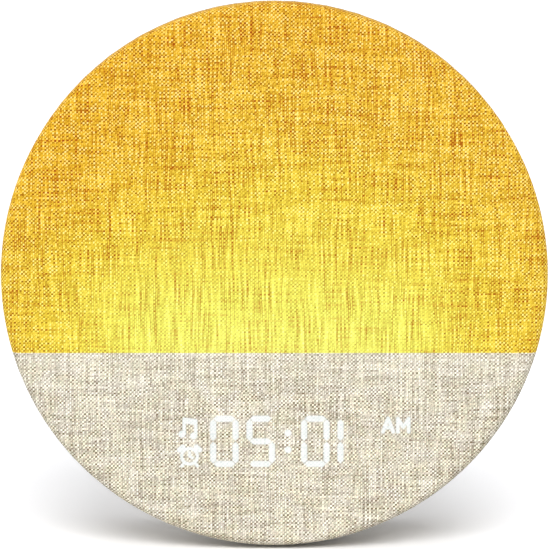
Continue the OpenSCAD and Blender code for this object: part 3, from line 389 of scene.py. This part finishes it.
def moulded(name, colour, grain=0.35, relief=0.02, rough=0.5, **constants):
    """Moulded plastic: an eroded grain, a little cloud in the colour and rubbed patches."""
    net = Net(bpy.data.materials.new(name))
    at = net.place()
    fine = net.noise(at, 1 / (grain * MM), 2.0, 0.6)
    tint = net.noise(at, 35.0, 3.0).ease(0.3, 0.7, 0.0, 0.7) + fine * 0.3
    rubbed = net.noise(at, 90.0, 4.0, 0.7).ease(0.35, 0.7, rough - 0.07, rough + 0.06)
    return net.skin(Base_Color=net.mix(tint, shaded(colour, 0.94), shaded(colour, 1.04)),
                    Roughness=rubbed, Normal=net.bump(fine, relief * MM, 0.6), **constants)


def key_plastic(name, colour, paint):
    """Satin plastic, with paint in the symbols that are sunk into the keys."""
    # Depths below a key's top at which the paint begins, is whole and ends, and the squares of
    # the distances from its middle at which the paint is still whole and at which it ends
    begins, whole, ends = 0.21 * MM, 0.23 * MM, 0.6 * MM
    inside, outside = 6.8 * MM * MM, 7.2 * MM * MM
    net = Net(bpy.data.materials.new(name))
    at = net.place()
    x, y, z = net.parts(at)
    z, along = z - MIDDLE.z, y - KEY_Y
    inked = 0.0
    for angle in KEY_ANGLES:
        s, c = math.sin(math.radians(angle)), math.cos(math.radians(angle))
        rise, across = x * s + z * c, x * c - z * s
        sunk = rise.ease(KEY_TOP - whole, KEY_TOP - begins, 1.0, 0.0) * rise.above(KEY_TOP - ends)
        inked = sunk * (across * across + along * along).ease(inside, outside, 1.0, 0.0) + inked
    fine = net.noise(at, 2500.0, 2.0)
    cloud = net.noise(at, 120.0, 3.0)
    body = net.mix(cloud, shaded(colour, 0.95), shaded(colour, 1.04))
    rough = cloud.ease(0.3, 0.7, 0.34, 0.44) + inked * 0.25
    return net.skin(Base_Color=net.mix(inked, body, shaded(paint, 1)), Roughness=rough,
                    Normal=net.bump(fine, 0.006 * MM, 0.6))


def plated(name, colour, rough):
    """Plated metal: fine drawn lines and dull stains."""
    net = Net(bpy.data.materials.new(name))
    at = net.place()
    x, y, z = net.parts(at)
    drawn = net.noise(net.point(x * 4, y, z * 4), 1800.0, 2.0)
    stain = net.noise(at, 400.0, 4.0, 0.7)
    tint = net.mix(stain, shaded(colour, 0.86), shaded(colour, 1.06))
    return net.skin(Base_Color=tint, Metallic=1.0, Normal=net.bump(drawn, 0.004 * MM),
                    Roughness=stain.ease(0.35, 0.7, rough, rough + 0.16) + drawn * 0.06)


def cellular(name, colour, cell, relief, rough):
    """Rubber or foam with small cells in its skin."""
    net = Net(bpy.data.materials.new(name))
    at = net.place()
    cells = net.node("ShaderNodeTexVoronoi", "Distance", {"Vector": at, "Scale": 1 / (cell * MM)})
    dust = net.noise(at, 150.0, 4.0, 0.65)
    tint = net.mix(dust.ease(0.45, 0.75), shaded(colour, 0.85), shaded(colour, 1.6))
    return net.skin(Base_Color=tint, Roughness=dust.ease(0.3, 0.7, rough - 0.06, rough + 0.05),
                    Normal=net.bump(cells, relief * MM), Specular_IOR_Level=0.3)


def pressed_paper(name, colour):
    """Pulp pressed with fine rings about the speaker's axis."""
    ring_pitch = 1.1 * MM
    net = Net(bpy.data.materials.new(name))
    at = net.place()
    x, _, z = net.parts(at)
    z = z - CONE_Z
    ring = (net.math("SQRT", x * x + z * z) * (2 * math.pi / ring_pitch)).cos()
    pulp = net.noise(at, 1400.0, 4.0, 0.75)
    tint = net.mix(pulp, shaded(colour, 0.6), shaded(colour, 1.7))
    return net.skin(Base_Color=tint, Roughness=pulp.ease(0.3, 0.7, 0.8, 0.95),
                    Normal=net.bump(ring * 0.5 + pulp, 0.08 * MM))


def circuit_board(name, mask, rough):
    """Solder mask over tracks that run across or down by blocks, with tinned dots between."""
    pitch, columns, rows = 1.27 * MM, 5, 4
    track_share, dot_share = 0.75, 0.14
    net = Net(bpy.data.materials.new(name))
    at = net.place()
    x, _, z = net.parts(at)
    u, v = x / pitch, z / pitch
    i, j = u.floor(), v.floor()
    block = net.point((i / columns).floor(), (j / rows).floor())
    across = net.node("ShaderNodeTexWhiteNoise", "Value", {"Vector": block}).above(0.5)
    used = net.node("ShaderNodeTexWhiteNoise", "Value", {"Vector": net.point(i, j, 3.0)})
    side_u, side_v = (u - i - 0.5).absolute(), (v - j - 0.5).absolute()
    side = side_v * across + side_u * (1 - across)
    track = side.ease(0.12, 0.17, 1.0, 0.0) * used.above(1 - track_share)
    dot = net.math("SQRT", side_u * side_u + side_v * side_v).ease(0.2, 0.24, 1.0, 0.0)
    dot = dot * used.above(1 - dot_share)
    colour = net.mix(track * 0.55, shaded(mask, 0.9), shaded(mask, 1.5))
    colour = net.mix(dot, colour, (0.62, 0.60, 0.56, 1.0))
    stain = net.noise(at, 300.0, 3.0)
    return net.skin(Base_Color=colour, Roughness=stain.ease(0.3, 0.7, rough - 0.05, rough + 0.08),
                    Normal=net.bump(track + dot, 0.035 * MM))


def flat_cable(name, skin, wire, pitch, share):
    """Film with conductors along it: their pitch in mm, and the share of it that they fill."""
    blur = 0.05
    net = Net(bpy.data.materials.new(name))
    at = net.place()
    u = net.parts(at)[0] / (pitch * MM)
    line = (u - u.floor() - 0.5).absolute().ease(share / 2 - blur, share / 2 + blur, 1.0, 0.0)
    cloud = net.noise(at, 200.0, 3.0)
    colour = net.mix(line * cloud.ease(0.2, 0.6, 0.75, 1.0), shaded(skin, 1), shaded(wire, 1))
    return net.skin(Base_Color=colour, Roughness=cloud.ease(0.3, 0.7, 0.26, 0.4),
                    Normal=net.bump(line, 0.05 * MM))


def glowing(name, colour, light, strength, rough):
    """A lamp or a light guide: cloudy, soft inside, and shining a little by itself."""
    net = Net(bpy.data.materials.new(name))
    cloud = net.noise(net.place(), 700.0, 3.0)
    tint = net.mix(cloud, shaded(colour, 0.9), shaded(colour, 1.03))
    return net.skin(Base_Color=tint, Roughness=cloud.ease(0.3, 0.7, rough - 0.06, rough + 0.06),
                    Normal=net.bump(cloud, 0.01 * MM), Subsurface_Weight=0.2,
                    Subsurface_Scale=0.002, Emission_Color=shaded(light, 1),
                    Emission_Strength=strength)


def finishes():
    """The material of each slot in the record."""
    return {
        "linen": linen(),
        "opal": moulded("opal_acrylic", (0.93, 0.90, 0.82), 0.5, 0.004, 0.3,
                        Subsurface_Weight=0.3, Subsurface_Scale=0.003),
        "display_panel": moulded("warm_grey_plastic", (0.72, 0.70, 0.64), 0.4, 0.015, 0.55),
        "frame_plastic": moulded("plain_grey_plastic", (0.62, 0.62, 0.60), 0.4, 0.015, 0.5),
        "white_reflector": moulded("reflector_white", (0.93, 0.93, 0.90), 0.3, 0.01, 0.6),
        "housing": moulded("eroded_off_white", (0.84, 0.80, 0.73), 0.32, 0.03, 0.52),
        "grille": moulded("satin_stone_plastic", (0.72, 0.68, 0.60), 0.3, 0.02, 0.46),
        "black_plastic": moulded("matte_black_plastic", (0.03, 0.03, 0.032), 0.3, 0.015, 0.48),
        "ivory_plastic": moulded("connector_ivory", (0.86, 0.83, 0.74), 0.25, 0.01, 0.45),
        "foot_plastic": moulded("eroded_grey_plastic", (0.26, 0.265, 0.27), 0.35, 0.03, 0.5),
        "basket": moulded("black_lacquer", (0.05, 0.05, 0.055), 0.8, 0.01, 0.36, Coat_Weight=0.15),
        "ferrite": moulded("fired_ferrite", (0.16, 0.16, 0.17), 0.15, 0.02, 0.62),
        "red_wire": moulded("red_insulation", (0.48, 0.05, 0.04), 0.6, 0.01, 0.42),
        "key_plastic": key_plastic("satin_key_plastic", (0.90, 0.87, 0.81), (0.11, 0.10, 0.09)),
        "steel": plated("zinc_plated_steel", (0.62, 0.62, 0.63), 0.3),
        "aluminium_can": plated("bare_aluminium", (0.72, 0.73, 0.75), 0.24),
        "cell_steel": plated("bright_nickel", (0.72, 0.72, 0.73), 0.2),
        "black_foam": cellular("closed_cell_foam", (0.07, 0.07, 0.07), 0.25, 0.12, 0.92),
        "black_rubber": cellular("roll_rubber", (0.035, 0.035, 0.035), 0.6, 0.01, 0.72),
        "sole_rubber": cellular("sole_rubber_pebbled", (0.028, 0.028, 0.03), 1.2, 0.08, 0.8),
        "paper": pressed_paper("pressed_cone_paper", (0.07, 0.06, 0.055)),
        "green_board": circuit_board("green_solder_mask", (0.10, 0.33, 0.20), 0.3),
        "white_board": circuit_board("white_solder_mask", (0.88, 0.88, 0.86), 0.4),
        "ribbon_white": flat_cable("flat_cable_white", (0.85, 0.84, 0.80), (0.60, 0.58, 0.54),
                                   1.0, 0.55),
        "amber_film": flat_cable("amber_circuit_film", (0.60, 0.34, 0.10), (0.42, 0.19, 0.05),
                                 1.0, 0.5),
        "warm_lamp": glowing("yellow_phosphor", (0.95, 0.78, 0.30), (1.0, 0.62, 0.18), 1.5, 0.35),
        "light_guide": glowing("clear_white_guide", (0.90, 0.94, 0.97), (0.85, 0.90, 1.0),
                               0.5, 0.2),
        "lamp_chip": glowing("small_lamp", (0.90, 0.88, 0.60), (0.85, 0.90, 1.0), 0.5, 0.3),
    }


# ---- What is lit on the display --------------------------------------------------------

def segment(length, x, z, upright):
    """The outline of one segment, pointed at both ends, about x, z."""
    tip, half = length / 2, SEGMENT_W / 2
    outline = [(-tip, 0), (half - tip, -half), (tip - half, -half),
               (tip, 0), (tip - half, half), (half - tip, half)]
    return ("plate", [(x - b, z + a) if upright else (x + a, z + b) for a, b in outline])


def digit(x, lit):
    """The lit segments of a digit about x. They are named a to g as usual."""
    bar = DIGIT_W - SEGMENT_W - 2 * END_GAP
    post = (DIGIT_H - SEGMENT_W) / 2 - 2 * END_GAP
    side, top = (DIGIT_W - SEGMENT_W) / 2, (DIGIT_H - SEGMENT_W) / 2
    places = {"a": (0, top), "g": (0, 0), "d": (0, -top), "f": (-side, top / 2),
              "e": (-side, -top / 2), "b": (side, top / 2), "c": (side, -top / 2)}
    return [segment(bar if name in "agd" else post, x + places[name][0], places[name][1],
                    name not in "agd") for name in lit]


def strokes(x, z, width, *lines):
    """Round-ended strokes of this width about x, z."""
    return [("stroke", x + a, z + b, x + c, z + d, width) for a, b, c, d in lines]


def notes(x, z):
    """A pair of notes under a double beam."""
    stem, head_r = 0.9, 1.05
    return (strokes(x, z, stem, (-1.9, -2.2, -1.9, 2.6), (1.9, -2.8, 1.9, 2.1),
                    (-1.9, 2.6, 1.9, 2.1), (-1.9, 1.7, 1.9, 1.2))
            + [("dot", x - 2.6, z - 2.4, head_r), ("dot", x + 1.2, z - 3, head_r)])


def alarm_clock(x, z):
    """A small clock with two hands, two bells and two feet."""
    rim, hand, bell, foot = 0.85, 0.7, 1.5, 0.8
    return ([("ring", x, z, 2.6, rim)]
            + strokes(x, z, hand, (0, 1.3, 0, 0), (0, 0, 1.0, -0.5))
            + strokes(x, z, bell, (-3.3, 2.1, -2.2, 3.1), (3.3, 2.1, 2.2, 3.1))
            + strokes(x, z, foot, (-1.9, -2.4, -2.6, -3.2), (1.9, -2.4, 2.6, -3.2)))


def letter_a(x, z):
    return strokes(x, z, 1.0, (-1.7, -2.2, 0, 2.3), (1.7, -2.2, 0, 2.3), (-1.0, -0.8, 1.0, -0.8))


def letter_m(x, z):
    return strokes(x, z, 1.0, (-1.8, -2.2, -1.8, 2.2), (1.8, -2.2, 1.8, 2.2),
                   (-1.8, 2.2, 0, -0.6), (1.8, 2.2, 0, -0.6))


def lit_shapes():
    """Every shape that shines through the cloth, in mm about the colon."""
    shapes = [s for x, lit in zip(DIGIT_XS, SHOWN) for s in digit(x, lit)]
    shapes += [("dot", 0, rise, DOT_R) for rise in (-DOT_RISE, DOT_RISE)]
    return (shapes + notes(*NOTES_AT) + alarm_clock(*ALARM_AT)
            + letter_a(*LETTER_A_AT) + letter_m(*LETTER_M_AT))


def distance(shape, points):
    """How far each point is outside a shape. It is below 0 inside."""
    kind, *a = shape
    x, z = points[:, 0], points[:, 1]
    if kind == "dot":
        return np.hypot(x - a[0], z - a[1]) - a[2]
    if kind == "ring":
        return abs(np.hypot(x - a[0], z - a[1]) - a[2]) - a[3] / 2
    if kind == "stroke":
        start, along = np.array(a[:2]), np.array(a[2:4]) - np.array(a[:2])
        share = np.clip((points - start) @ along / (along @ along), 0, 1)
        return np.linalg.norm(points - start - share[:, None] * along, axis=1) - a[4] / 2
    # A plate is inside all of its sides, so the side that it is farthest out of counts.
    corners = np.array(a[0])
    sides = np.roll(corners, -1, axis=0) - corners
    out = np.stack([sides[:, 1], -sides[:, 0]], axis=1) / np.linalg.norm(sides, axis=1)[:, None]
    middle = corners.mean(axis=0)
    reach = ((corners - middle) * out).sum(axis=1)
    out[reach < 0], reach = -out[reach < 0], abs(reach)
    return ((points - middle) @ out.T - reach).max(axis=1)


# ---- Meshes ----------------------------------------------------------------------------

def placed(name, data):
    """A new object in the scene."""
    made = bpy.data.objects.new(name, data)
    bpy.context.scene.collection.objects.link(made)
    return made


def mesh_object(name, points, faces, material, smooth_below=40):
    mesh = bpy.data.meshes.new(name)
    mesh.from_pydata(points, [], faces)
    mesh.validate()
    mesh.shade_smooth()
    mesh.set_sharp_from_angle(angle=math.radians(smooth_below))
    mesh.materials.append(material)
    return placed(name, mesh)


def face_seeds(shapes, colon, rim, flat_r):
    """Points of the cloth's flat face, in mm: its rim, an even spread, and points that lie close
    together where a lit shape ends."""
    wide_step, fine_step, fine_reach = 3.0, 0.2, 0.42
    left, right, half_height = -38, 42, 10
    across, up = np.arange(left, right, fine_step), np.arange(-half_height, half_height, fine_step)
    fine = np.stack(np.meshgrid(across, up), -1).reshape(-1, 2)
    outside = np.min([distance(s, fine) for s in shapes], axis=0)
    fine = fine[abs(outside) < fine_reach] + colon
    row = np.arange(-flat_r, flat_r, wide_step)
    wide = np.stack(np.meshgrid(row, row), -1)
    wide[1::2, :, 0] += wide_step / 2
    wide = wide.reshape(-1, 2)
    wide = wide[np.hypot(wide[:, 0], wide[:, 1]) < flat_r - wide_step / 2]
    return np.concatenate([rim * flat_r, wide, fine])


def cloth_section(flat_r):
    """The cloth's section from the flat face outwards, and back again on the inside, in mm: the
    radius and depth of each ring of points, and 1 where the cloth gathers or else 0."""
    depth_end = (cover_high.y - cover_low.y) / MM
    face_r, edge, thick, lip = FACE_R / MM, EDGE_R / MM, CLOTH_T / MM, LIP_REACH / MM
    inner_edge = edge - thick
    rings = []
    for k in range(1, 9):
        a = k / 8 * math.pi / 2
        rings.append((flat_r + edge * math.sin(a), edge * (1 - math.cos(a)), 0))
    for share in (0.25, 0.5, 0.75, 1.0):
        rings.append((face_r, edge + share * (depth_end - thick - edge), 1))
    for k in range(1, 4):
        a = k / 3 * math.pi / 2
        rings.append((face_r - thick * (1 - math.cos(a)), depth_end - thick * (1 - math.sin(a)), 1))
    rings += [(face_r - lip / 2, depth_end, 1), (face_r - lip, depth_end, 1),
              (face_r - lip, depth_end - thick, 1), (face_r - thick, depth_end - thick, 0),
              (face_r - thick, edge, 0)]
    for k in range(5, -1, -1):
        a = k / 6 * math.pi / 2
        rings.append((flat_r + inner_edge * math.sin(a), thick + inner_edge * (1 - math.cos(a)), 0))
    return rings


def glow_shares(shapes, places):
    """How much of the display's light each place on the face gets, from 0 to 1."""
    outside = np.min([distance(s, places) for s in shapes], axis=0)
    share = np.clip((GLOW_REACH - outside) / GLOW_FADE, 0, 1)
    return share * share * (3 - 2 * share)


def cloth(material):
    """The cloth: flat over the face, round its edge, and turned in behind the cup."""
    inside_only, weld = 1, 1e-5
    shapes = lit_shapes()
    colon = np.array(COLON) / MM - np.array([0, MIDDLE.z / MM])
    flat_r = (FACE_R - EDGE_R) / MM
    turn = np.arange(AROUND) * 2 * math.pi / AROUND
    rim = np.stack([np.cos(turn), np.sin(turn)], 1)
    seeds = [Vector(p) for p in face_seeds(shapes, colon, rim, flat_r).tolist()]
    flat, _, triangles, *_ = delaunay_2d_cdt(seeds, [], [list(range(AROUND))], inside_only, weld)

    # The flat face looks towards -Y.
    uv = np.array([tuple(p) for p in flat])
    points = np.stack([uv[:, 0], np.zeros(len(uv)), uv[:, 1]], 1)
    faces = [list(t) for t in triangles]
    if np.cross(*(points[faces[0][k]] - points[faces[0][0]] for k in (1, 2)))[1] > 0:
        faces = [f[::-1] for f in faces]

    # Each ring of points goes on from the last one, and the cloth is as long as the way there.
    # Its gathers differ in width and depth.
    wave = 1 + np.sin(turn * 71 + 2 * np.sin(turn * 5)) * np.sin(turn * 23 + 1)
    length, start = 0, (flat_r, 0)
    last, following = list(range(AROUND)), [*range(1, AROUND), 0]
    for r, depth, gathers in cloth_section(flat_r):
        length += math.dist(start, (r, depth))
        start = (r, depth)
        gather = gathers * GATHER / MM * min(1, (depth - EDGE_R / MM) / (GATHER_FULL / MM))
        radius = r - gather * wave / 2
        here = np.arange(len(points), len(points) + AROUND)
        points = np.concatenate([points, np.stack(
            [rim[:, 0] * radius, np.full(AROUND, depth), rim[:, 1] * radius], 1)])
        uv = np.concatenate([uv, rim * (flat_r + length)])
        faces += [[last[n], last[m], here[m], here[n]] for n, m in enumerate(following)]
        last = here
    points = np.concatenate([points, [[0, CLOTH_T / MM, 0]]])
    uv = np.concatenate([uv, [[0, 0]]])
    faces += [[last[n], last[m], len(points) - 1] for n, m in enumerate(following)]

    made = mesh_object("cloth", (points * MM + np.array(MIDDLE)).tolist(),
                       [[int(n) for n in f] for f in faces], material, smooth_below=60)
    mesh = made.data
    layer = mesh.uv_layers.new(name="cloth")
    corner = np.empty(len(mesh.loops), dtype=np.int32)
    mesh.loops.foreach_get("vertex_index", corner)
    layer.data.foreach_set("uv", (uv[corner] * MM).astype(np.float32).ravel())
    on_front = points[:, 1] < 0.01
    share = glow_shares(shapes, points[:, [0, 2]] - colon) * on_front
    glow = mesh.attributes.new("glow", "FLOAT", "POINT")
    glow.data.foreach_set("value", share.astype(np.float32))
    return made


def stitch_ring(material):
    """A group of nodes that sets stitches out round a circle, and the value of each input."""
    sizes = {"Radius": FACE_R - HEM_INSET, "Pitch": HEM_PITCH, "Stitch length": STITCH_L,
             "Thread": THREAD_D}
    sway, seed = 0.07, 4
    net = Net(bpy.data.node_groups.new("hem_stitches", "GeometryNodeTree"))
    sockets = net.tree.interface
    sockets.new_socket("Geometry", in_out="OUTPUT", socket_type="NodeSocketGeometry")
    values = {sockets.new_socket(name, in_out="INPUT", socket_type="NodeSocketFloat").identifier:
              size for name, size in sizes.items()}
    given = net.tree.nodes.new("NodeGroupInput").outputs
    radius, pitch, length, thread = (Wire(net, given[name]) for name in sizes)

    count = net.math("ROUND", radius * (2 * math.pi) / pitch)
    circle = net.node("GeometryNodeCurvePrimitiveCircle", "Curve",
                      {"Radius": radius, "Resolution": 256})
    points = net.node("GeometryNodeCurveToPoints", "Points", {"Curve": circle, "Count": count},
                      mode="COUNT")
    turned = net.node("FunctionNodeAlignRotationToVector", 0,
                      {"Vector": points.beside("Tangent")}, axis="X")
    tilt = net.node("FunctionNodeRandomValue", 0,
                    {"Min": (0, 0, -sway), "Max": (0, 0, sway), "Seed": seed},
                    data_type="FLOAT_VECTOR")
    tilted = net.node("FunctionNodeRotateRotation", 0, {"Rotation": turned, "Rotate By": tilt},
                      rotation_space="LOCAL")
    long, thin = length * 0.5, thread * 0.5
    bead = net.node("GeometryNodeMeshUVSphere", "Mesh", {"Segments": 8, "Rings": 5, "Radius": 1.0})
    stitched = net.node("GeometryNodeInstanceOnPoints", 0, {
        "Points": points, "Instance": bead, "Rotation": tilted,
        "Scale": net.point(long, thin, thin)})
    whole = net.node("GeometryNodeRealizeInstances", 0, {0: stitched})
    dressed = net.node("GeometryNodeSetMaterial", 0, {"Geometry": whole, "Material": material})
    return net.end(dressed, "NodeGroupOutput"), values


def hem_stitches(material):
    """Stitches that hold the turned-in edge of the cloth."""
    carrier = placed("hem_carrier", bpy.data.meshes.new("hem_carrier"))
    modifier = carrier.modifiers.new("stitches", "NODES")
    modifier.node_group, values = stitch_ring(material)
    for key, value in values.items():
        modifier[key] = value
    bpy.context.view_layer.update()
    seen = carrier.evaluated_get(bpy.context.evaluated_depsgraph_get())
    mesh = bpy.data.meshes.new_from_object(seen)
    bpy.data.objects.remove(carrier)
    behind_hem = Matrix.Translation((0, cover_high.y + STITCH_RISE, MIDDLE.z))
    mesh.transform(behind_hem @ Matrix.Rotation(math.pi / 2, 4, "X"))
    mesh.shade_smooth()
    return placed("hem_stitches", mesh)


# ---- Stage -----------------------------------------------------------------------------

def seen_as_white(net):
    """1 for rays that show the surroundings themselves: direct, mirrored or through glass."""
    direct, mirrored, through = (net.node("ShaderNodeLightPath", name, {}) for name in (
        "Is Camera Ray", "Is Glossy Ray", "Is Transmission Ray"))
    return direct.at_least(mirrored).at_least(through)


def floor():
    """A pale floor, which looks pure white where light falls on it."""
    half = 10
    net = Net(bpy.data.materials.new("pale_floor"))
    speck = net.noise(net.place(), 40.0, 3.0)
    pale = net.mix(speck, (0.79, 0.79, 0.79, 1.0), (0.81, 0.81, 0.81, 1.0))
    white = net.mix(speck, (1.25, 1.25, 1.27, 1.0), (1.27, 1.27, 1.29, 1.0))
    colour = net.mix(seen_as_white(net), pale, white)
    material = net.end(net.node("ShaderNodeBsdfDiffuse", 0, {0: colour}))
    corners = [(-half, -half, 0), (half, -half, 0), (half, half, 0), (-half, half, 0)]
    mesh_object("floor", corners, [[0, 1, 2, 3]], material)


def world():
    """White surroundings that light the clock dimly."""
    net = Net(bpy.data.worlds.new("studio"))
    bpy.context.scene.world = net.owner
    shade = net.mix(seen_as_white(net), (0.3, 0.3, 0.3, 1.0), (1.0, 1.0, 1.0, 1.0))
    net.end(net.node("ShaderNodeBackground", 0, {0: shade, 1: 1.0}), "ShaderNodeOutputWorld")


def sun(name, azimuth, elevation, share, softness):
    """A sun that lights a white surface square to it to this share of white."""
    lamp = bpy.data.lights.new(name, "SUN")
    lamp.energy, lamp.angle = math.pi * share, math.radians(softness)
    a, e = math.radians(azimuth), math.radians(elevation)
    towards = Vector((math.sin(a) * math.cos(e), -math.cos(a) * math.cos(e), math.sin(e)))
    placed(name, lamp).rotation_euler = towards.to_track_quat("Z", "Y").to_euler()


def camera():
    """A camera that looks down a little, and whose picture is as wide as the clock."""
    reach, looks_down, seen = 1.5, math.radians(7.5), 2.0064 * FACE_R
    aim = MIDDLE + Vector((0.2, 0, 0.1)) * MM
    data = bpy.data.cameras.new("camera")
    data.sensor_fit, data.sensor_width = "HORIZONTAL", 36
    data.lens = 36 * reach / seen
    made = placed("camera", data)
    back = Vector((0, -math.cos(looks_down), math.sin(looks_down)))
    made.location = aim + back * reach
    made.rotation_euler = back.to_track_quat("Z", "Y").to_euler()
    bpy.context.scene.camera = made


# ---- The scene -------------------------------------------------------------------------

by_slot = finishes()
for part in frame["nodes"].values():
    part.material_slots[0].material = by_slot[part.material_slots[0].material.name]

cover = cloth(by_slot["linen"])
stitches = hem_stitches(moulded("hem_thread", (0.94, 0.92, 0.84), 0.12, 0.05, 0.8))
for piece in (cover, stitches):
    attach(piece, "clock")
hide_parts("fabric_cover")

floor()
world()
sun("key_light", 2, 38, 0.72, 36)
sun("top_light", 180, 88, 0.24, 50)
sun("side_light", -58, 4, 0.28, 30)
camera()

bpy.context.scene.view_settings.view_transform = "Standard"
